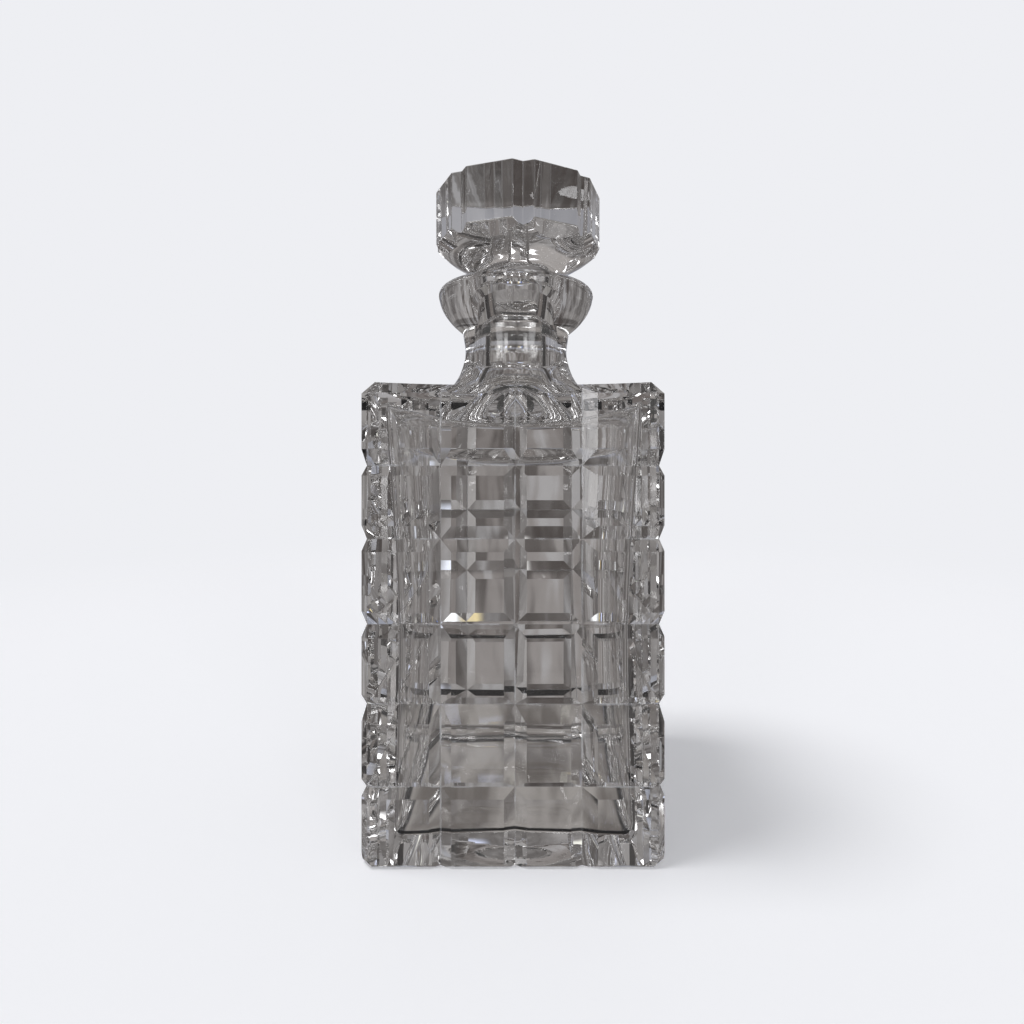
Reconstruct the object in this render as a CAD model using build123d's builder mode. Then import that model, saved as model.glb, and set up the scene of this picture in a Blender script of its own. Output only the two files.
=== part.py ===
"""Square cut crystal decanter with an octagonal lift-out stopper.

Two pieces of glass. The decanter itself is one blown and cut piece: a square body with a grid of V cuts,
a slightly dished shoulder, a waisted neck and a flared lip, all round one hollow. The stopper is the other
piece: an eight-sided head with a V cut down each corner, on a ground peg that sits in the neck's bore.

Frame: origin at the centre of the base, on the surface it stands on, +Z up, -Y towards the viewer of the
front face. Millimetres.
"""

import math
import os

from build123d import *

# ---- Body: outside ----
WIDTH = 95.4  # across two opposite faces
CORNER_LEG = 2.2  # each leg of the flat ground on an upright corner
SHOULDER = 150.9  # height of the shoulder at the middle of a face
SHOULDER_BEVEL_FOOT = 148.1  # the 45 degree bevel round the shoulder starts here
BASE_BEVEL = 1.0
CORNER_FOOT = 3.6  # height where the bevel at the foot of an upright corner starts
CORNER_FOOT_REACH = 2.3  # how far in that bevel would reach at the base
CORNER_FOOT_RISE = 1.6  # it is drawn this much past its own ends, at its own slope

# ---- Body: the V cuts, set out by hand, so none is quite like the next ----
CUT_DEPTH = 1.75
# (place along the face seen from outside, reach to its left, reach to its right)
UPRIGHT_CUTS = [(-22.7, 3.4, 3.5), (0.65, 3.4, 3.7), (21.7, 3.5, 4.8)]
# (height of the valley, reach below it, reach above it)
LEVEL_CUTS = [(24.6, 3.1, 2.2), (50.6, 5.7, 2.7), (75.6, 4.0, 4.0), (102.4, 3.9, 4.2), (125.4, 3.1, 5.2)]

# ---- Neck and lip ----
WAIST_RADIUS = 19.6
WAIST_HEIGHT = 168.8
NECK_TOP = (20.6, 176.6)  # (radius, height) where the neck meets the lip
LIP_RADIUS = 29.8
LIP_WIDEST = 190.3
LIP_ROUND = 3.0  # radius of the rounded rim
LIP_TOP = LIP_WIDEST + LIP_ROUND

# ---- Hollow ----
FLOOR_EDGE = 6.3
FLOOR_MIDDLE = 7.8
# (height, half width at the corners, how far each wall bows in at its middle)
HOLLOW_SECTIONS = [(0.0, 39.0, 1.2), (75.0, 37.6, 1.4), (140.0, 41.2, 1.8), (205.0, 42.0, 1.8)]
HOLLOW_CORNER = 3.0  # radius of its upright corners
ROOF_AT_WALL = 139.2
ROOF_AT_CORNER = 144.2

# ---- Ground joint ----
BORE_TOP_RADIUS = 10.7
BORE_FOOT_RADIUS = 10.3
BORE_FOOT = 160.8
MOUTH_CHAMFER = 1.2
JOINT_CLEARANCE = 0.12

# ---- Stopper ----
HEAD_TURN = 4.3  # the head stands turned by this much, in degrees
HEAD_SHIFT = 0.8  # the head was cut this far to the right of the peg's axis
HEAD_RADIUS = 33.0  # axis to an uncut corner of the octagon
HEAD_TOP = 229.4
CORNER_CUT_REACH = 4.04  # along each side from the uncut corner
CORNER_CUT_DEPTH = 3.1  # from the uncut corner to the valley
BOWL = [(14.5, 199.0), (25.0, 204.3), (38.0, 213.5)]  # underside of the head: (radius, height)
UNDERCUT = (30.5, 209.5)  # (distance from the axis, height) where the flat under each side starts
UNDERCUT_SLOPE = 1.1  # rise over run of those flats
STEM_RADIUS = 12.2
PEG_FOOT = 161.6
PEG_CHAMFER = 0.9

half = WIDTH / 2

# Turned shape that shapes the shoulder, the neck and the lip.
with BuildPart() as turned_outside:
    with BuildSketch(Plane.XZ):
        with BuildLine():
            neck = Spline(
                (72.0, SHOULDER + 2.0),
                (58.0, SHOULDER + 0.7),
                (45.0, SHOULDER),
                (34.0, SHOULDER + 0.2),
                (27.0, SHOULDER + 2.7),
                (22.8, SHOULDER + 7.4),
                (20.4, SHOULDER + 13.3),
                (WAIST_RADIUS, WAIST_HEIGHT),
                NECK_TOP,
            )
            under_lip = Spline(
                neck @ 1,
                (25.4, 181.0),
                (28.5, 185.6),
                (LIP_RADIUS, LIP_WIDEST),
                tangents=[(1.0, 0.75), (0.0, 1.0)],
            )
            rim = JernArc(start=under_lip @ 1, tangent=(0, 1), radius=LIP_ROUND, arc_size=90)
            Polyline(rim @ 1, (0, LIP_TOP), (0, -5), (72, -5), neck @ 0)
        make_face()
    revolve(axis=Axis.Z)

# Everything the wheel takes off one face, drawn at the front: it runs out past both ends.
past = 2.0  # carries each V out beyond the face
with BuildPart() as face_cuts:
    with BuildSketch(Plane.YZ.offset(-WIDTH)):
        for valley, below, above in LEVEL_CUTS:
            Polygon(
                (-half + CUT_DEPTH, valley),
                (-half - CUT_DEPTH * (past - 1), valley + above * past),
                (-half - CUT_DEPTH * (past - 1), valley - below * past),
                align=None,
            )
        Polygon(
            (-half - 1.0, SHOULDER_BEVEL_FOOT - 1.0),
            (-half + 8.0, SHOULDER_BEVEL_FOOT + 8.0),
            (-half - 1.0, SHOULDER_BEVEL_FOOT + 8.0),
            align=None,
        )
        Polygon(
            (-half - 1.0, BASE_BEVEL + 1.0),
            (-half - 1.0, -1.0),
            (-half + BASE_BEVEL + 1.0, -1.0),
            align=None,
        )
    extrude(amount=2 * WIDTH)
    with BuildSketch(Plane.XY.offset(-1)):
        for valley, left, right in UPRIGHT_CUTS:
            Polygon(
                (valley, -half + CUT_DEPTH),
                (valley - left * past, -half - CUT_DEPTH * (past - 1)),
                (valley + right * past, -half - CUT_DEPTH * (past - 1)),
                align=None,
            )
    extrude(amount=SHOULDER + 6.0)

# The bevels at the top and the foot of an upright corner, drawn at the front.
corner_flat = (WIDTH - CORNER_LEG) / math.sqrt(2)  # axis to the flat on an upright corner
with BuildPart() as corner_cuts:
    with BuildSketch(Plane.YZ.offset(-10)):
        Polygon(
            (-corner_flat - 1.0, SHOULDER_BEVEL_FOOT - 1.0),
            (-corner_flat + 8.0, SHOULDER_BEVEL_FOOT + 8.0),
            (-corner_flat - 1.0, SHOULDER_BEVEL_FOOT + 8.0),
            align=None,
        )
        Polygon(
            (-corner_flat - 1.0, CORNER_FOOT + CORNER_FOOT_RISE),
            (-corner_flat - 1.0, -CORNER_FOOT_RISE),
            (-corner_flat + CORNER_FOOT_REACH + 1.0, -CORNER_FOOT_RISE),
            align=None,
        )
    extrude(amount=20)

# The hollow: four bowed walls between a turned floor, a turned roof and the ground bore.
with BuildPart() as hollow:
    for height, reach, bow in HOLLOW_SECTIONS:
        with BuildSketch(Plane.XY.offset(height)) as section:
            with BuildLine():
                ThreePointArc((-reach, -reach), (0, bow - reach), (reach, -reach))
                ThreePointArc((reach, -reach), (reach - bow, 0), (reach, reach))
                ThreePointArc((reach, reach), (0, reach - bow), (-reach, reach))
                ThreePointArc((-reach, reach), (bow - reach, 0), (-reach, -reach))
            make_face()
            fillet(section.vertices(), radius=HOLLOW_CORNER)
    loft()
    with BuildSketch(Plane.XZ):
        with BuildLine():
            floor = Spline(
                (0, FLOOR_MIDDLE),
                (20.0, FLOOR_MIDDLE - 0.5),
                (36.0, FLOOR_EDGE),
                (70.0, FLOOR_EDGE - 0.5),
                tangents=[(1, 0), (1, 0)],
            )
            outside = Line(floor @ 1, (70.0, ROOF_AT_CORNER + 3.0))
            roof = Spline(
                outside @ 1,
                (55.0, ROOF_AT_CORNER),
                (39.0, ROOF_AT_WALL),
                (29.0, 140.2),
                (20.0, 145.0),
                (13.6, 152.0),
                (BORE_FOOT_RADIUS, BORE_FOOT),
            )
            Polyline(
                roof @ 1,
                (BORE_TOP_RADIUS, LIP_TOP - MOUTH_CHAMFER),
                (BORE_TOP_RADIUS + MOUTH_CHAMFER, LIP_TOP),
                (BORE_TOP_RADIUS + MOUTH_CHAMFER, LIP_TOP + 2.0),
                (0, LIP_TOP + 2.0),
                floor @ 0,
            )
        make_face()
    revolve(axis=Axis.Z, mode=Mode.INTERSECT)

# The decanter: one piece of glass from its base to its lip.
with BuildPart() as decanter_body:
    with BuildSketch(Plane.XY) as plan:
        Rectangle(WIDTH, WIDTH)
        chamfer(plan.vertices(), length=CORNER_LEG)
    extrude(amount=LIP_TOP + 10.0)
    add(turned_outside.part, mode=Mode.INTERSECT)
    for quarter in range(4):
        add(face_cuts.part, rotation=(0, 0, 90 * quarter), mode=Mode.SUBTRACT)
        add(corner_cuts.part, rotation=(0, 0, 90 * quarter + 45), mode=Mode.SUBTRACT)
    add(hollow.part, mode=Mode.SUBTRACT)
decanter_body.part.label = "decanter_body"

# The stopper's head: an octagonal prism with a V cut down each corner, over a turned underside.
with BuildPart() as head:
    with BuildSketch(Plane.XY.offset(PEG_FOOT)):
        RegularPolygon(radius=HEAD_RADIUS, side_count=8, rotation=-90 + HEAD_TURN)
        with PolarLocations(HEAD_RADIUS - CORNER_CUT_DEPTH, 8, start_angle=-90 + HEAD_TURN):
            # Each V is drawn lying along the corner's own radius, and is carried out past the corner.
            run = CORNER_CUT_DEPTH - CORNER_CUT_REACH * math.sin(math.radians(22.5))
            rise = CORNER_CUT_REACH * math.cos(math.radians(22.5))
            Polygon((0, 0), (3 * run, 3 * rise), (3 * run, -3 * rise), align=None, mode=Mode.SUBTRACT)
    extrude(amount=HEAD_TOP - PEG_FOOT)
    with BuildSketch(Plane.XZ):
        with BuildLine():
            bowl = ThreePointArc(*BOWL)
            Polyline(bowl @ 1, (38.0, HEAD_TOP + 1), (0, HEAD_TOP + 1), (0, BOWL[0][1]), bowl @ 0)
        make_face()
    revolve(axis=Axis.Z, mode=Mode.INTERSECT)

# Eight flats leaning in under the head's sides.
with BuildPart() as undercuts:
    reach, height = UNDERCUT
    for apothem in (2.0, reach + 10.0):
        with BuildSketch(Plane.XY.offset(height + (apothem - reach) * UNDERCUT_SLOPE)):
            RegularPolygon(radius=apothem, side_count=8, major_radius=False, rotation=-90 + HEAD_TURN)
    loft(ruled=True)
    extrude(faces().sort_by(Axis.Z)[-1], amount=30.0)

# The stopper: head, stem and ground peg, one piece of glass.
with BuildPart() as stopper:
    with Locations((HEAD_SHIFT, 0, 0)):
        add(head.part)
        add(undercuts.part, mode=Mode.INTERSECT)
    peg_top_radius = BORE_TOP_RADIUS - JOINT_CLEARANCE
    taper = (BORE_TOP_RADIUS - BORE_FOOT_RADIUS) / (LIP_TOP - MOUTH_CHAMFER - BORE_FOOT)
    peg_foot_radius = peg_top_radius - taper * (LIP_TOP - MOUTH_CHAMFER - PEG_FOOT)
    with BuildSketch(Plane.XZ):
        with BuildLine():
            stem = Spline(
                (BOWL[0][0] + 2.0, BOWL[0][1] + 1.0),
                (STEM_RADIUS + 0.9, BOWL[0][1] - 1.2),
                (STEM_RADIUS, BOWL[0][1] - 4.2),
            )
            Polyline(
                stem @ 1,
                (peg_top_radius, LIP_TOP - MOUTH_CHAMFER),
                (peg_foot_radius, PEG_FOOT + PEG_CHAMFER),
                (peg_foot_radius - PEG_CHAMFER, PEG_FOOT),
                (0, PEG_FOOT),
                (0, BOWL[0][1] + 2.0),
                (BOWL[0][0] + 2.0, BOWL[0][1] + 2.0),
                stem @ 0,
            )
        make_face()
    revolve(axis=Axis.Z)
stopper.part.label = "stopper"

os.makedirs("parts", exist_ok=True)
for piece in (decanter_body, stopper):
    export_step(piece.part, f"parts/{piece.part.label}.step")
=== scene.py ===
"""Cut crystal decanter with its octagonal stopper, on a plain pale floor."""

import math

import bmesh
import bpy
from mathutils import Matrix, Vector, noise


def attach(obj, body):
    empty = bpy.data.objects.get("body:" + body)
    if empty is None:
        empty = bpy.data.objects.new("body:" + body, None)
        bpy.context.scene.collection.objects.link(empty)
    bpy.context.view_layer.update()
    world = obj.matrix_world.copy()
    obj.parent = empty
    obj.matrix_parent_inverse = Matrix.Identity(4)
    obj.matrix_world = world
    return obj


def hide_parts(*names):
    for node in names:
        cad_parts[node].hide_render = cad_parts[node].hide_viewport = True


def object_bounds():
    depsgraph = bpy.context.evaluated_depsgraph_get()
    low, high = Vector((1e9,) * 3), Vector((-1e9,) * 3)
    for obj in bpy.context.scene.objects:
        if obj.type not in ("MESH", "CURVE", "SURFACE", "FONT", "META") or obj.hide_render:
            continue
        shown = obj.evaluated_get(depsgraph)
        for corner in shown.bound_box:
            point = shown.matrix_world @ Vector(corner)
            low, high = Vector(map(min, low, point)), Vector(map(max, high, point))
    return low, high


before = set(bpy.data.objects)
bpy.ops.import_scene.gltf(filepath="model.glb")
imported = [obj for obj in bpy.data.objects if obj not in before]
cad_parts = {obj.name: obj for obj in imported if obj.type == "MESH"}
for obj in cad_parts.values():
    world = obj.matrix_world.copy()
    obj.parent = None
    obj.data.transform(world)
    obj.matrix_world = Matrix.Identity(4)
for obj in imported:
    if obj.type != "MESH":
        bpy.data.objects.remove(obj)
cad_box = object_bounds()
scene = bpy.context.scene
MM = 0.001

# ---- Sizes in millimetres, the same as the CAD's ----
low, high = cad_box
HALF = (high[0] - low[0]) / 2 / MM  # axis to the middle of a face
CUT_DEPTH = 1.75
# Each V cut: its bottom, then how far its sides reach left and right, or down and up.
UPRIGHT_CUTS = [(-22.7, 3.4, 3.5), (0.65, 3.4, 3.7), (21.7, 3.5, 4.8)]
LEVEL_CUTS = [(24.6, 3.1, 2.2), (50.6, 5.7, 2.7), (75.6, 4.0, 4.0), (102.4, 3.9, 4.2), (125.4, 3.1, 5.2)]
# A corner's leg is what its ground bevel takes off each of the two faces.
CORNER_LEG = 2.2
VALLEY_CORNER_LEG = 0.3  # where a level cut crosses the corner
BASE_BEVEL, BASE_CORNER_LEG = 1.0, 2.6
CORNER_FOOT, CORNER_FOOT_SPREAD = 3.6, 1.2  # the corner is wider below this height
# The shoulder's bevel leans in at 45 degrees, and the corner narrows to nothing on the way up.
BEVEL_FOOT, BEVEL_REACH = 148.1, 7.0
BEVEL_CORNER_END, BEVEL_CORNER_LOSS = 3.6, 0.586
LIP_TOP, LIP_RADIUS, LIP_ROUNDING = 193.3, 29.8, 3.0
NECK_TOP = (20.6, 176.6)
NECK = [
    (72.0, 152.9), (58.0, 151.6), (45.0, 150.9), (34.0, 151.1), (27.0, 153.6), (22.8, 158.3),
    (20.4, 164.2), (19.6, 168.8), NECK_TOP,
]
UNDER_LIP = [NECK_TOP, (25.4, 181.0), (28.5, 185.6), (LIP_RADIUS, LIP_TOP - LIP_ROUNDING)]
BORE_TOP, BORE_FOOT_RADIUS, BORE_FOOT = 10.7, 10.3, 160.8
MOUTH = 1.2  # bevel round the top of the bore
CLEARANCE = 0.12
PEG_FOOT, PEG_BEVEL = 161.6, 0.9
HEAD_TOP = high[2] / MM
HEAD_TURN = 4.3  # degrees the head is turned against the body
HEAD_SHIFT = 0.8  # the head's axis to the peg's, sideways
HEAD_RADIUS = 33.0
HEAD_CUT_REACH, HEAD_CUT_DEPTH = 4.04, 3.1
UNDERCUT, UNDERCUT_SLOPE = (30.5, 209.5), 1.1  # a place on the flats under the head, and their slope
UNDERCUT_ENDS = (19.0, 41.0)
BOWL = [
    (12.2, 194.8), (12.7, 197.0), (14.5, 199.0), (20.0, 201.5), (25.0, 204.3), (31.5, 208.6), (38.0, 213.5),
]
SHIFT_START, SHIFT_RUN = 196.0, 3.0  # the stem leans over to the head's axis within this height

# ---- How the glass differs from the CAD: softer edges and a hollow a little out of true ----
BOTTLE_EDGE, STOPPER_EDGE = 0.45, 0.4
HOLLOW_CORNER = 1.9  # softness of the hollow's upright corners
ROOF_ROUNDING, FLOOR_ROUNDING = 1.5, 5.0
WAVE, WAVES_PER_MM, WAVE_PLACE = 0.06, 0.035, Vector((3.1, 0.7, 5.2))
BLOWN_TOP, BLOWN_EASE = 158.0, 10.0  # the waves fade towards the bore and the axis
SPARE, TOOL_SPARE = 5.0, 6.0  # how far blanks and cutting shapes pass the glass
TINY = 0.02  # radius that stands for the axis


# ---- Camera ----
def make_camera():
    """Level, in front of the decanter, a little above half its height."""
    data = bpy.data.cameras.new("camera")
    data.sensor_width = 36.0
    data.lens = 21.1
    data.shift_x = -0.0165
    data.shift_y = -0.0459
    data.clip_start = 0.01
    data.clip_end = 40.0
    made = bpy.data.objects.new("camera", data)
    scene.collection.objects.link(made)
    made.location = (5.0 * MM, -234.4 * MM, 125.6 * MM)
    made.rotation_euler = (math.radians(90), 0, 0)
    return made


# ---- Mesh helpers ----
def curve_through(points, count, start=None, end=None):
    """Points spread along a smooth curve through the given ones, in any number of dimensions.

    start and end are steps that set the curve's direction at its two ends."""
    points = [Vector(p) for p in points]
    first = points[0] * 2 - points[1] if start is None else points[0] - Vector(start)
    last = points[-1] * 2 - points[-2] if end is None else points[-1] + Vector(end)
    held = [first] + points + [last]
    out = []
    for i in range(1, len(held) - 2):
        a, b, c, d = held[i - 1 : i + 3]
        ta = max((b - a).length, 1e-6) ** 0.5
        tb = max((c - b).length, 1e-6) ** 0.5
        tc = max((d - c).length, 1e-6) ** 0.5
        m1 = (b - a) / ta - (c - a) / (ta + tb) + (c - b) / tb
        m2 = (c - b) / tb - (d - b) / (tb + tc) + (d - c) / tc
        m1, m2 = m1 * tb, m2 * tb
        for k in range(count):
            s = k / count
            out.append(
                b * (2 * s**3 - 3 * s**2 + 1) + m1 * (s**3 - 2 * s**2 + s)
                + c * (-2 * s**3 + 3 * s**2) + m2 * (s**3 - s**2)
            )
    out.append(points[-1])
    return [tuple(p) for p in out]


def line(a, b, count):
    """count + 1 points spread evenly from a to b."""
    return [(a[0] + (b[0] - a[0]) * k / count, a[1] + (b[1] - a[1]) * k / count) for k in range(count + 1)]


def rounded(a, corner, b, reach, count):
    """A quadratic curve round a corner of a path, from reach before it to reach after it."""
    a, corner, b = Vector(a), Vector(corner), Vector(b)
    start = corner + (a - corner).normalized() * reach
    end = corner + (b - corner).normalized() * reach
    places = [k / count for k in range(count + 1)]
    return [tuple(start * (1 - s) ** 2 + corner * 2 * s * (1 - s) + end * s**2) for s in places]


def along(points, value, column):
    """Reads a column of a list of points at a value of their first column."""
    for a, b in zip(points, points[1:]):
        if a[0] <= value <= b[0]:
            s = (value - a[0]) / (b[0] - a[0])
            return a[column] * (1 - s) + b[column] * s
    return points[-1][column] if value > points[-1][0] else points[0][column]


def skin(name, rows):
    """A closed surface through rows of points, each row a closed ring, in millimetres."""
    bm = bmesh.new()
    rings = [[bm.verts.new(Vector(p) * MM) for p in row] for row in rows]
    count = len(rings[0])
    for a, b in zip(rings, rings[1:]):
        for i in range(count):
            j = (i + 1) % count
            bm.faces.new((a[i], a[j], b[j], b[i]))
    bm.faces.new(rings[0])
    bm.faces.new(rings[-1])
    bmesh.ops.remove_doubles(bm, verts=bm.verts, dist=1e-7)
    bmesh.ops.dissolve_degenerate(bm, edges=bm.edges, dist=1e-7)
    bmesh.ops.recalc_face_normals(bm, faces=bm.faces)
    mesh = bpy.data.meshes.new(name)
    bm.to_mesh(mesh)
    bm.free()
    made = bpy.data.objects.new(name, mesh)
    scene.collection.objects.link(made)
    return made


def turned(name, profile, shifted=0.0, segments=192):
    """A solid turned from (radius, height) points that begin and end on the axis.

    Above the stem it may be shifted sideways, as the stopper's head is."""
    rows = []
    for r, z in profile:
        r = max(r, TINY)
        shift = shifted * min(1.0, max(0.0, (z - SHIFT_START) / SHIFT_RUN))
        angles = [math.tau * i / segments for i in range(segments)]
        rows.append([(shift + r * math.cos(a), r * math.sin(a), z) for a in angles])
    return skin(name, rows)


def apply(target):
    """Writes an object's modifiers into its mesh."""
    bpy.context.view_layer.update()
    made = bpy.data.meshes.new_from_object(target.evaluated_get(bpy.context.evaluated_depsgraph_get()))
    target.modifiers.clear()
    old = target.data
    target.data = made
    bpy.data.meshes.remove(old)


def cut(target, tool, operation):
    """Takes the tool away from the target, or keeps what they share, and removes the tool."""
    step = target.modifiers.new("cut", "BOOLEAN")
    step.solver = "EXACT"
    step.operation = operation
    step.object = tool
    apply(target)
    bpy.data.objects.remove(tool)


def soften(piece, edge):
    """Rounds a flat-sided piece's edges a little, as acid polishing leaves them."""
    step = piece.modifiers.new("edges", "BEVEL")
    step.limit_method = "ANGLE"
    step.angle_limit = math.radians(12)
    step.width = edge * MM
    step.segments = 2
    step.profile = 0.6
    step.use_clamp_overlap = True
    apply(piece)


def shade(piece):
    """Flat cuts stay flat, turned and blown surfaces are smooth, and only steep edges are sharp."""
    merge, sharp = 0.003 * MM, math.radians(40)
    bm = bmesh.new()
    bm.from_mesh(piece.data)
    bmesh.ops.remove_doubles(bm, verts=bm.verts, dist=merge)
    bmesh.ops.dissolve_degenerate(bm, edges=bm.edges, dist=merge)
    bmesh.ops.recalc_face_normals(bm, faces=bm.faces)
    for f in bm.faces:
        f.smooth = True
    for e in bm.edges:
        e.smooth = len(e.link_faces) == 2 and e.calc_face_angle(0.0) < sharp
    bm.to_mesh(piece.data)
    bm.free()
    step = piece.modifiers.new("normals", "WEIGHTED_NORMAL")
    step.keep_sharp = True
    step.weight = 90
    apply(piece)


# ---- The bottle's outside ----
def outline(z, inset, leg):
    """The body's plan at a height, its faces cut back by inset as the level cuts and bevels leave them."""
    reach = HALF - inset
    left = max(0.0, 1 - inset / CUT_DEPTH)  # the share of an upright cut's width that is left
    valley = min(reach, HALF - CUT_DEPTH)
    front = [(-reach + leg, -reach)]
    for place, before, after in UPRIGHT_CUTS:
        front += [(place - before * left, -reach), (place, -valley), (place + after * left, -reach)]
    front.append((reach - leg, -reach))
    points = []
    for quarter in range(4):
        for x, y in front:
            for _ in range(quarter):
                x, y = -y, x
            points.append((x, y, z))
    return points


def body_levels():
    """The height, inset and corner leg of every ring of the body, from the base up past the lip."""
    levels = [
        (0.0, BASE_BEVEL, BASE_CORNER_LEG),
        (BASE_BEVEL, 0.0, CORNER_LEG + CORNER_FOOT_SPREAD),
        (CORNER_FOOT, 0.0, CORNER_LEG),
    ]
    for valley, below, above in LEVEL_CUTS:
        levels += [
            (valley - below, 0.0, CORNER_LEG),
            (valley, CUT_DEPTH, VALLEY_CORNER_LEG),
            (valley + above, 0.0, CORNER_LEG),
        ]
    return levels + [
        (BEVEL_FOOT, 0.0, CORNER_LEG),
        (BEVEL_FOOT + CUT_DEPTH, CUT_DEPTH, CORNER_LEG - BEVEL_CORNER_LOSS * CUT_DEPTH),
        (BEVEL_FOOT + BEVEL_CORNER_END, BEVEL_CORNER_END, 0.05),
        (BEVEL_FOOT + BEVEL_REACH, BEVEL_REACH, 0.0),
        (LIP_TOP + TOOL_SPARE, BEVEL_REACH, 0.0),
    ]


def outside_profile():
    """Half the bottle's turned outline: the shoulder, the waisted neck and the flared, rounded lip."""
    lip_flat = LIP_RADIUS - LIP_ROUNDING
    rim = []
    for degrees in range(9, 91, 9):
        angle = math.radians(degrees)
        rim.append((
            lip_flat + LIP_ROUNDING * math.cos(angle),
            LIP_TOP - LIP_ROUNDING + LIP_ROUNDING * math.sin(angle),
        ))
    neck = curve_through(NECK, 10)
    under_lip = curve_through(UNDER_LIP, 8, end=(0.0, 3.0))
    return [(0.0, -SPARE), (NECK[0][0], -SPARE)] + neck + under_lip[1:] + rim + [(0.0, LIP_TOP)]


# ---- The bottle's hollow ----
# The roof and the floor, as radius and height, and the walls, as height, reach and bow.
ROOF = curve_through(
    [(BORE_FOOT_RADIUS, BORE_FOOT), (13.6, 152.0), (20.0, 145.0), (29.0, 140.2), (39.0, 139.2), (55.0, 144.2),
     (64.0, 147.0)],
    10, start=(-0.1, 6.0),
)
FLOOR = curve_through([(TINY, 7.8), (20.0, 7.3), (36.0, 6.3), (64.0, 5.9)], 8)
WALLS = curve_through([(0.0, 39.0, 1.2), (75.0, 37.6, 1.4), (140.0, 41.2, 1.8), (160.0, 42.0, 1.8)], 12)
ROOF_LEVEL, FLOOR_LEVEL = 142.0, 7.0


def wall_radius(turn, z):
    """Axis to the hollow's wall at that angle and height."""
    reach, bow = along(WALLS, z, 1), along(WALLS, z, 2)
    reaches = []
    for side in range(4):
        angle = (turn - side * math.pi / 2 + math.pi) % math.tau - math.pi
        if abs(angle) > 1.25:
            continue  # this wall faces away
        x = reach
        for _ in range(4):
            x = reach - bow + bow * (math.tan(angle) * x / reach) ** 2
        reaches.append(x / math.cos(angle))
    nearest = min(reaches)
    total = sum(math.exp(-(r - nearest) / HOLLOW_CORNER) for r in reaches)
    return nearest - HOLLOW_CORNER * math.log(total)


def blown(turn, r, z):
    """A place on the hollow, a little out of true below the bore, as blown and stuck walls are."""
    outward = Vector((math.cos(turn), math.sin(turn), 0.0))
    point = outward * r + Vector((0.0, 0.0, z))
    ease = min(1.0, max(0.0, (BLOWN_TOP - z) / BLOWN_EASE)) * min(1.0, r / BLOWN_EASE)
    return point + outward * ease * WAVE * noise.noise(point * WAVES_PER_MM + WAVE_PLACE)


def hollow_line(turn):
    """The hollow's surface at one angle, from above the mouth down to the middle of the floor."""
    roof_radius, foot_radius = wall_radius(turn, ROOF_LEVEL), wall_radius(turn, FLOOR_LEVEL)
    z_roof, z_floor = along(ROOF, roof_radius, 1), along(FLOOR, foot_radius, 1)
    path = [(BORE_TOP + MOUTH, LIP_TOP + 2.0), (BORE_TOP + MOUTH, LIP_TOP)]
    path += line((BORE_TOP, LIP_TOP - MOUTH), (BORE_FOOT_RADIUS, BORE_FOOT), 8)
    roof_rows, wall_rows, floor_rows = 40, 44, 14
    roof_run = roof_radius - ROOF_ROUNDING - 0.1 - BORE_FOOT_RADIUS
    for k in range(1, roof_rows + 1):
        r = BORE_FOOT_RADIUS + roof_run * (k / roof_rows) ** 1.35
        path.append((r, along(ROOF, r, 1)))
    path += rounded(path[-1], (roof_radius, z_roof), (roof_radius, z_roof - 10.0), ROOF_ROUNDING, 5)[1:]
    wall_top, wall_foot = z_roof - ROOF_ROUNDING, z_floor + FLOOR_ROUNDING
    for k in range(1, wall_rows):
        z = wall_top + (wall_foot - wall_top) * k / wall_rows
        path.append((wall_radius(turn, z), z))
    above, inward = (foot_radius, z_floor + 10.0), (foot_radius - 10.0, z_floor + 0.3)
    path += rounded(above, (foot_radius, z_floor), inward, FLOOR_ROUNDING, 11)
    for k in range(1, floor_rows + 1):
        r = max((foot_radius - FLOOR_ROUNDING) * (1 - k / floor_rows), TINY)
        path.append((r, along(FLOOR, r, 1)))
    return [blown(turn, r, z) for r, z in path]


def hollow_turns():
    """The angles of the hollow's lines, close together at its upright corners and wider along its walls."""
    near_corner = [0.15 + 0.3 * k for k in range(10)]
    from_corner = near_corner + [3.2 + 41.6 * (k / 22) ** 1.25 for k in range(1, 23)]
    both_ways = [-a for a in reversed(from_corner[:-1])] + from_corner
    return [math.radians(45 + 90 * quarter + away) for quarter in range(4) for away in both_ways]


def make_bottle():
    made = skin("bottle_glass", [outline(*level) for level in body_levels()])
    soften(made, BOTTLE_EDGE)
    cut(made, turned("outside", outside_profile()), "INTERSECT")
    lines = [hollow_line(turn) for turn in hollow_turns()]
    cut(made, skin("hollow_tool", list(zip(*lines))), "DIFFERENCE")
    shade(made)
    return made


# ---- The stopper ----
def head_angle(corner):
    return math.radians(-90 + HEAD_TURN + 45 * corner)


def head_plan():
    """The head's eight sides with a V cut down each corner."""
    half_side = math.radians(22.5)
    back, across_cut = HEAD_CUT_REACH * math.sin(half_side), HEAD_CUT_REACH * math.cos(half_side)
    plan = []
    for corner in range(8):
        angle = head_angle(corner)
        for out, across in (
            (HEAD_RADIUS - back, -across_cut),
            (HEAD_RADIUS - HEAD_CUT_DEPTH, 0.0),
            (HEAD_RADIUS - back, across_cut),
        ):
            x = out * math.cos(angle) - across * math.sin(angle)
            y = out * math.sin(angle) + across * math.cos(angle)
            plan.append((x + HEAD_SHIFT, y))
    return plan


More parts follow.
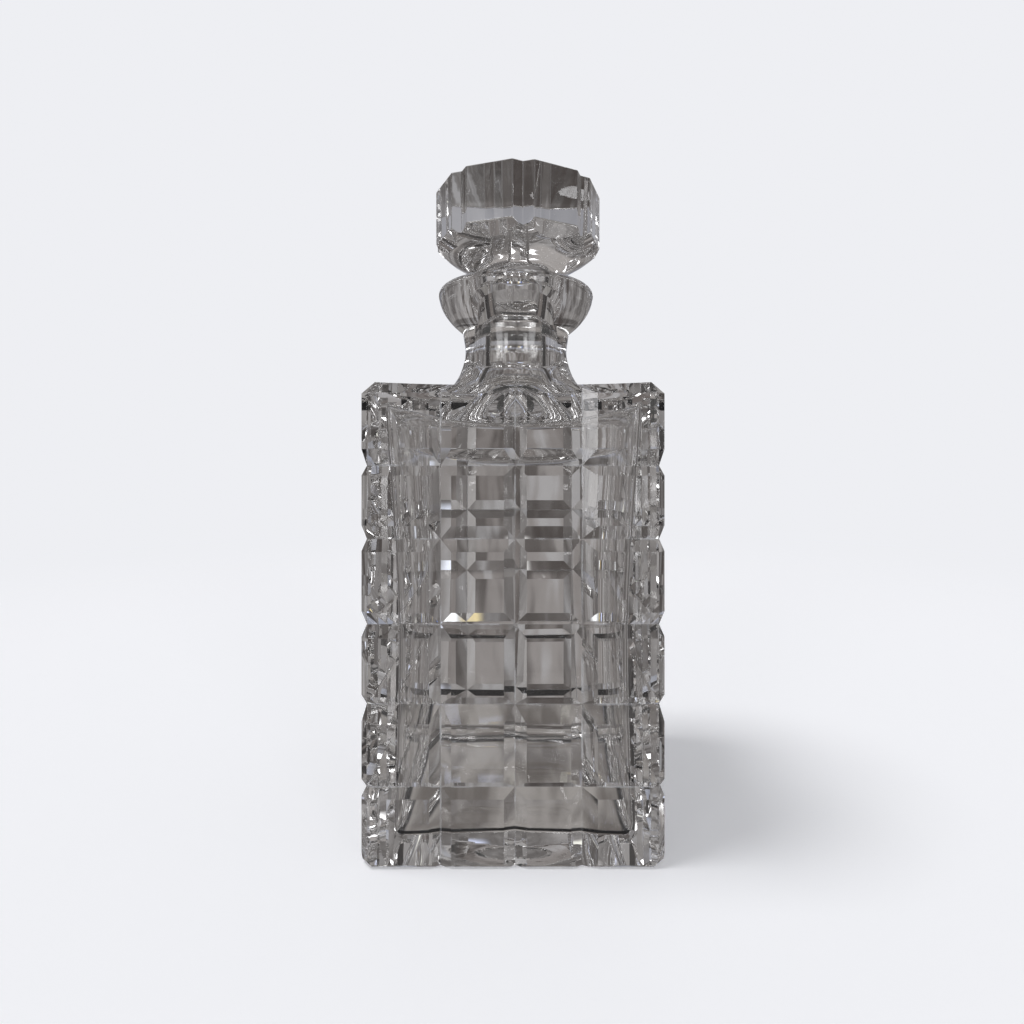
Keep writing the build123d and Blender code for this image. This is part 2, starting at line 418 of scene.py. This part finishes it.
def undercut_rings():
    """Eight flats that lean in under the head's sides, with upright ends above and below them."""
    slope = [(reach, UNDERCUT[1] + (reach - UNDERCUT[0]) * UNDERCUT_SLOPE) for reach in UNDERCUT_ENDS]
    foot, top = (slope[0][0], PEG_FOOT - TOOL_SPARE), (slope[-1][0], HEAD_TOP + TOOL_SPARE)
    rings = []
    for apothem, z in [foot] + slope + [top]:
        reach = apothem / math.cos(math.radians(22.5))
        angles = [head_angle(corner) for corner in range(8)]
        rings.append([(reach * math.cos(a) + HEAD_SHIFT, reach * math.sin(a), z) for a in angles])
    return rings


def underside_profile():
    """Half the stopper's turned outline: the tapered peg, the stem and the bowl under the head."""
    seat = LIP_TOP - MOUTH
    taper = (BORE_TOP - BORE_FOOT_RADIUS) / (seat - BORE_FOOT)
    peg_top = BORE_TOP - CLEARANCE
    peg_foot = peg_top - taper * (seat - PEG_FOOT)
    peg = line((peg_foot, PEG_FOOT + PEG_BEVEL), (peg_top, seat), 8)
    over_head = HEAD_TOP + 3.0
    return (
        [(0.0, PEG_FOOT), (peg_foot - PEG_BEVEL, PEG_FOOT)] + peg + curve_through(BOWL, 8)
        + [(40.0, over_head), (0.0, over_head)]
    )


def make_stopper():
    plan = head_plan()
    made = skin("stopper_glass", [[(x, y, z) for x, y in plan] for z in (PEG_FOOT - SPARE, HEAD_TOP)])
    cut(made, skin("undercuts", undercut_rings()), "INTERSECT")
    soften(made, STOPPER_EDGE)
    cut(made, turned("underside", underside_profile(), HEAD_SHIFT), "INTERSECT")
    shade(made)
    return made


# ---- Node trees ----
def tone(red, green, blue):
    return (red, green, blue, 1.0)


class Tree:
    """A material's or the world's node tree, written as sums and products."""

    def __init__(self, owner):
        owner.use_nodes = True
        self.nodes, self.links = owner.node_tree.nodes, owner.node_tree.links
        self.nodes.clear()

    def add(self, kind, inputs=None, **settings):
        node = self.nodes.new(kind)
        for name, value in settings.items():
            setattr(node, name, value)
        for name, value in (inputs or {}).items():
            self.feed(node.inputs[name], value)
        return node

    def feed(self, socket, value):
        if isinstance(value, bpy.types.NodeSocket):
            self.links.new(value, socket)
        else:
            socket.default_value = value

    def math(self, operation, *values):
        node = self.nodes.new("ShaderNodeMath")
        node.operation = operation
        for socket, value in zip(node.inputs, values):
            self.feed(socket, value)
        return node.outputs[0]

    def times(self, a, b):
        return self.math("MULTIPLY", a, b)

    def step(self, value, low, high):
        """0 below low, 1 above high, smooth between."""
        node = self.nodes.new("ShaderNodeMapRange")
        node.interpolation_type = "SMOOTHSTEP"
        for name, number in (("Value", value), ("From Min", low), ("From Max", high)):
            self.feed(node.inputs[name], number)
        return node.outputs[0]

    def fall(self, value, low, high):
        """1 below low, 0 above high, smooth between."""
        return self.math("SUBTRACT", 1.0, self.step(value, low, high))

    def mix(self, factor, a, b):
        node = self.nodes.new("ShaderNodeMix")
        node.data_type = "RGBA"
        self.feed(node.inputs[0], factor)
        self.feed(node.inputs[6], a)
        self.feed(node.inputs[7], b)
        return node.outputs[2]

    def blend(self, factor, a, b):
        """Shader a where the factor is 0, and shader b where it is 1."""
        return self.add("ShaderNodeMixShader", {0: factor, 1: a, 2: b}).outputs[0]

    def noise(self, place, **inputs):
        values = {name.capitalize(): value for name, value in inputs.items()}
        return self.add("ShaderNodeTexNoise", {"Vector": place, **values}).outputs["Fac"]

    def place(self):
        return self.add("ShaderNodeNewGeometry").outputs["Position"]

    def light_path(self):
        return self.add("ShaderNodeLightPath").outputs


# ---- Crystal ----
def ground_lines(t, where):
    """The share of ground glass at the bottom of each V cut, which polishing doesn't quite clear."""
    axes = t.add("ShaderNodeSeparateXYZ", {0: where}).outputs
    x, y = t.math("ABSOLUTE", axes[0]), t.math("ABSOLUTE", axes[1])
    far, near = t.math("MAXIMUM", x, y), t.math("MINIMUM", x, y)
    bottom = (HALF - CUT_DEPTH) * MM
    in_valley = t.times(
        t.step(far, bottom - 0.5 * MM, bottom - 0.3 * MM),
        t.fall(far, bottom + 0.06 * MM, bottom + 0.22 * MM),
    )
    off_corner = t.math("LESS_THAN", near, 44.5 * MM)
    below_shoulder = t.math("LESS_THAN", axes[2], 148.5 * MM)
    above_base = t.math("GREATER_THAN", axes[2], 2.0 * MM)
    on_face = t.times(t.times(off_corner, below_shoulder), above_base)
    patches = t.noise(where, scale=95.0, detail=2.0)
    strength = t.math("ADD", 0.03, t.times(0.34, t.step(patches, 0.44, 0.62)))
    return t.times(t.times(in_valley, on_face), strength)


def make_crystal():
    """Clear crystal with faintly wavy surfaces."""
    made = bpy.data.materials.new("cut_crystal")
    t = Tree(made)
    where = t.place()
    wave = t.noise(where, scale=70.0, detail=1.0)
    bump = t.add("ShaderNodeBump", {"Height": wave, "Strength": 0.05, "Distance": 0.4 * MM})
    glass = t.add("ShaderNodeBsdfPrincipled", {"Roughness": 0.0, "Normal": bump.outputs["Normal"]})
    glass.inputs["Base Color"].default_value = tone(0.985, 0.982, 0.975)
    glass.inputs["IOR"].default_value = 1.54
    glass.inputs["Transmission Weight"].default_value = 1.0
    ground = t.add("ShaderNodeBsdfDiffuse", {"Color": tone(0.9, 0.91, 0.93)})
    surface = t.blend(ground_lines(t, where), glass.outputs[0], ground.outputs[0])
    t.add("ShaderNodeOutputMaterial", {"Surface": surface})
    return made


# ---- Floor ----
BACKDROP = tone(0.855, 0.862, 0.895)
FLOOR_DROP = 0.25  # keeps the floor clear of the base
CONTACT_SHADOW_RING = (35.2, 37.2)  # off the axis, where the painted contact shadow, a dark ring under the base, sets in
UNDER_BASE = (46.2, 47.5)  # off the axis, where the painted shade under the base ends
HAZE = (0.3, 0.9)  # metres away, where the floor goes over into the backdrop


def seen_floor(t, where):
    """Pale paper: soft room light, the lamp and an even glow add up to the backdrop's own tone."""
    away = t.add("ShaderNodeVectorMath", {0: where}, operation="LENGTH").outputs["Value"]
    paper = t.add("ShaderNodeBsdfDiffuse", {"Color": tone(0.86, 0.865, 0.89)})
    glow = t.add("ShaderNodeEmission", {"Color": tone(0.301, 0.3035, 0.317), "Strength": 1.0})
    lit = t.add("ShaderNodeAddShader", {0: paper.outputs[0], 1: glow.outputs[0]})
    haze = t.add("ShaderNodeEmission", {"Color": BACKDROP, "Strength": 1.0})
    return t.blend(t.step(away, *HAZE), lit.outputs[0], haze.outputs[0])


def floor_through_glass(t, where):
    """Painted shade under the base, as the glass sees it: a dim, mottled taupe glow with a painted contact
    shadow as a dark ring; elsewhere nothing, so that the room shows.
    """
    axes = t.add("ShaderNodeSeparateXYZ", {0: where}).outputs
    off = t.math("MAXIMUM", t.math("ABSOLUTE", axes[0]), t.math("ABSOLUTE", axes[1]))
    stretched = t.add("ShaderNodeVectorMath", {0: where, 1: (62.0, 15.0, 0.0)}, operation="MULTIPLY")
    mottle = t.noise(stretched.outputs["Vector"], scale=1.0, detail=3.0)
    # Painted shade: the floor under the glass glows a dim, mottled taupe instead of being lit.
    taupe = t.mix(t.step(mottle, 0.40, 0.62), tone(0.13, 0.117, 0.11), tone(0.34, 0.322, 0.31))
    # Painted shadow: a near-black ring round the edge of the base, where its contact shadow falls.
    painted_shade_and_shadow = t.mix(t.step(off, CONTACT_SHADOW_RING[0] * MM, CONTACT_SHADOW_RING[1] * MM), taupe, tone(0.008, 0.008, 0.009))
    under = t.add("ShaderNodeEmission", {"Color": painted_shade_and_shadow, "Strength": 1.0})
    clear = t.add("ShaderNodeBsdfTransparent")
    edge = t.step(off, UNDER_BASE[0] * MM, UNDER_BASE[1] * MM)
    return t.blend(edge, under.outputs[0], clear.outputs[0])


def make_floor():
    bpy.ops.mesh.primitive_plane_add(size=60.0, location=(0, 0, -FLOOR_DROP * MM))
    made = bpy.context.object
    made.name = "floor"
    paper = bpy.data.materials.new("pale_floor")
    t = Tree(paper)
    where = t.place()
    rays = t.light_path()
    direct = t.math("MAXIMUM", rays["Is Camera Ray"], rays["Is Diffuse Ray"])
    direct = t.math("MAXIMUM", direct, rays["Is Shadow Ray"])
    # The camera, diffuse and shadow rays see the pale floor; the glass sees the painted shade under the base.
    surface = t.blend(direct, floor_through_glass(t, where), seen_floor(t, where))
    t.add("ShaderNodeOutputMaterial", {"Surface": surface})
    made.data.materials.append(paper)
    return made


# ---- Studio: pale behind, a taupe room all round for what the glass bends and mirrors ----
# Azimuth 0 is straight behind the decanter, positive to the right; elevation is above the horizon; degrees.
WHITE_PANE, YELLOW_EDGE = (1.5, 1.55, 1.6), (1.1, 0.92, 0.5)
CEILING, LAMP_PANEL, SPOT = (0.42, 0.395, 0.385), (4.5, 4.5, 4.6), (5.0, 5.0, 5.2)
NEAR_BLACK, SIDE_GREY = (0.03, 0.028, 0.028), (0.20, 0.18, 0.172)
PANELS = [
    # left, right, foot, top, softness, share, colour
    # Furniture behind the decanter.
    (-11, 10, -60, 3, 3.0, 0.4, (0.20, 0.170, 0.158)),
    (13, 30, -50, 25, 3.0, 0.5, (0.38, 0.365, 0.36)),
    (-32, -14, -50, 25, 3.0, 0.5, (0.15, 0.14, 0.138)),
    # Level bands behind it, light and dark by turns, for the slopes of the V cuts.
    (-60, 60, 8.5, 12, 0.7, 0.6, (0.42, 0.45, 0.55)),
    (-60, 60, 12.5, 16, 1.0, 0.75, (0.09, 0.08, 0.076)),
    (-60, 60, 1.0, 3.5, 0.8, 0.6, (0.07, 0.062, 0.06)),
    (-60, 60, 17, 24, 1.5, 0.55, (0.42, 0.43, 0.48)),
    (-60, 60, -27.5, -23.5, 0.7, 0.7, (0.04, 0.035, 0.033)),
    (-60, 60, -23.0, -18.0, 0.7, 0.35, (0.30, 0.285, 0.28)),
    (-60, 60, -29.6, -28.0, 0.4, 0.9, (0.025, 0.023, 0.023)),
    (-60, 60, -44, -31, 0.8, 0.6, (0.28, 0.268, 0.255)),
    # Dark walls on both sides with a lighter stretch in each, a dark ceiling and a dark floor.
    (64, 112, -60, 60, 2.0, 0.9, NEAR_BLACK),
    (-112, -64, -60, 60, 2.0, 0.9, NEAR_BLACK),
    (83, 97, -60, 60, 2.5, 0.8, SIDE_GREY),
    (-97, -83, -60, 60, 2.5, 0.8, SIDE_GREY),
    (-180, 180, 58, 91, 6.0, 1.0, (0.05, 0.05, 0.05)),
    (-180, 180, -91, -62, 6.0, 1.0, (0.10, 0.092, 0.09)),
    # Small windows behind the decanter, some with a yellow or a blue edge.
    (-14.6, -13.9, 12.2, 13.2, 0.25, 1.0, WHITE_PANE),
    (-13.0, -12.5, 12.4, 13.8, 0.25, 0.9, YELLOW_EDGE),
    (-5.2, -3.9, 11.6, 13.6, 0.25, 1.0, WHITE_PANE),
    (-3.8, -2.9, 12.0, 14.0, 0.25, 0.9, YELLOW_EDGE),
    (-6.2, -5.3, 11.6, 14.0, 0.25, 0.9, (0.22, 0.38, 1.0)),
    (2.4, 3.6, 12.0, 14.2, 0.25, 1.0, WHITE_PANE),
    (3.7, 4.5, 11.8, 13.8, 0.25, 0.9, YELLOW_EDGE),
    (5.8, 7.0, 11.8, 14.0, 0.25, 1.0, (1.0, 1.1, 1.5)),
    (11.6, 12.8, 11.8, 14.0, 0.25, 1.0, (1.4, 1.4, 1.3)),
    (-11.2, -9.8, 1.2, 2.6, 0.25, 1.0, (1.2, 1.25, 1.3)),
    (-1.6, -0.6, 1.2, 2.6, 0.25, 1.0, (1.2, 1.2, 1.2)),
    (4.0, 4.9, 1.3, 2.8, 0.25, 1.0, (1.2, 1.25, 1.3)),
    (5.0, 5.7, 1.3, 2.8, 0.25, 0.9, (1.1, 0.8, 0.22)),
    (9.6, 10.8, 1.2, 2.6, 0.25, 1.0, (1.1, 1.15, 1.3)),
    (-7, -5.4, 5.5, 7.5, 0.4, 1.0, (0.8, 0.85, 1.0)),
    (9, 10.6, 3.5, 5.5, 0.4, 1.0, (0.8, 0.85, 1.0)),
    (-54, -52, 4, 16, 0.7, 1.0, (0.9, 0.95, 1.1)),
    (46, 48, 4, 16, 0.7, 1.0, (0.9, 0.9, 0.95)),
    (-9, -3, 27, 31, 0.8, 1.0, (1.0, 1.1, 1.45)),
    (4, 9, 27, 31, 0.8, 1.0, (1.0, 1.05, 1.3)),
    (-20, -16, 26, 29, 0.8, 1.0, (1.2, 1.2, 1.1)),
    # A pale ceiling over the viewer, and lamps on both sides of them, for the rounded edges.
    (120, 180, 30, 56, 4.0, 0.8, CEILING),
    (-180, -120, 30, 56, 4.0, 0.8, CEILING),
    (138, 152, -6, 20, 3.0, 1.0, LAMP_PANEL),
    (-152, -138, -6, 20, 3.0, 1.0, LAMP_PANEL),
    (168, 176, 34, 37, 0.8, 1.0, SPOT),
    (-176, -168, 34, 37, 0.8, 1.0, SPOT),
]
CURTAIN = (-34, 34, -34, 14, 4.0)  # left, right, foot, top, softness


class Room(Tree):
    """The world's node tree, with directions in degrees."""

    def __init__(self, owner):
        super().__init__(owner)
        toward = self.add("ShaderNodeTexCoord").outputs["Generated"]
        axes = self.add("ShaderNodeSeparateXYZ", {0: toward}).outputs
        degrees = 180 / math.pi
        self.azimuth = self.times(self.math("ARCTAN2", axes[0], axes[1]), degrees)
        self.elevation = self.times(self.math("ARCSINE", axes[2]), degrees)

    def panel(self, left, right, foot, top, soft):
        """1 within a rectangle of directions, 0 outside it."""
        sides = self.times(
            self.step(self.azimuth, left - soft, left + soft),
            self.fall(self.azimuth, right - soft, right + soft),
        )
        ends = self.times(
            self.step(self.elevation, foot - soft, foot + soft),
            self.fall(self.elevation, top - soft, top + soft),
        )
        return self.times(sides, ends)

    def streaks(self, across, up, **inputs):
        """Noise drawn out along the height: across and up are how fast it changes each way."""
        parts = {0: self.times(self.azimuth, across), 1: self.times(self.elevation, up)}
        place = self.add("ShaderNodeCombineXYZ", parts).outputs[0]
        return self.noise(place, scale=1.0, **inputs)


def room_colour(t):
    """Upright bands all round, then the panels, then folds in the curtain straight behind."""
    bands = t.streaks(0.11, 0.022, detail=5.0, roughness=0.66)
    colour = t.mix(t.step(bands, 0.38, 0.64), tone(0.10, 0.092, 0.09), tone(0.36, 0.348, 0.348))
    for *edges, share, tint in PANELS:
        colour = t.mix(t.times(t.panel(*edges), share), colour, tone(*tint))
    folds = t.streaks(0.42, 0.055, detail=3.0, roughness=0.6)
    curtain = t.panel(*CURTAIN)
    dark_folds = t.times(curtain, t.times(0.8, t.fall(folds, 0.39, 0.49)))
    colour = t.mix(dark_folds, colour, tone(0.055, 0.046, 0.043))
    light_folds = t.times(curtain, t.times(0.55, t.step(folds, 0.53, 0.64)))
    return t.mix(light_folds, colour, tone(0.50, 0.50, 0.52))


def make_studio():
    made = bpy.data.worlds.new("studio")
    t = Room(made)
    rays = t.light_path()
    seen = t.add("ShaderNodeBackground", {"Color": BACKDROP, "Strength": 1.0})
    room = t.add("ShaderNodeBackground", {"Color": room_colour(t), "Strength": 1.0})
    lighting = t.add("ShaderNodeBackground", {"Color": tone(0.95, 0.955, 0.97), "Strength": 0.25})
    unseen = t.blend(rays["Is Diffuse Ray"], room.outputs[0], lighting.outputs[0])
    surface = t.blend(rays["Is Camera Ray"], unseen, seen.outputs[0])
    t.add("ShaderNodeOutputWorld", {"Surface": surface})
    return made


def make_lamp():
    """A broad soft lamp high on the left, for the shadow on the floor; the glass doesn't show it."""
    data = bpy.data.lights.new("lamp", "SUN")
    data.angle = math.radians(20)
    data.energy = 1.34
    made = bpy.data.objects.new("lamp", data)
    scene.collection.objects.link(made)
    made.rotation_euler = Vector((0.42, 0.05, -1.0)).to_track_quat("-Z", "Y").to_euler()
    made.visible_glossy = False
    made.visible_transmission = False


# ---- The scene ----
scene.camera = make_camera()
bottle = make_bottle()
stopper = make_stopper()
crystal = make_crystal()
for piece, body, node, slot in (
    (bottle, "bottle", "decanter_body", "crystal_body"),
    (stopper, "stopper", "stopper", "crystal_stopper"),
):
    piece.data.materials.append(crystal)
    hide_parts(node)
    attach(piece, body)
floor = make_floor()
scene.world = make_studio()
make_lamp()

scene.view_settings.view_transform = "Standard"
scene.cycles.use_denoising = True
# Light crosses cut crystal many times before it is out again.
scene.cycles.max_bounces = 48
scene.cycles.transmission_bounces = 40
scene.cycles.glossy_bounces = 40
scene.cycles.transparent_max_bounces = 32
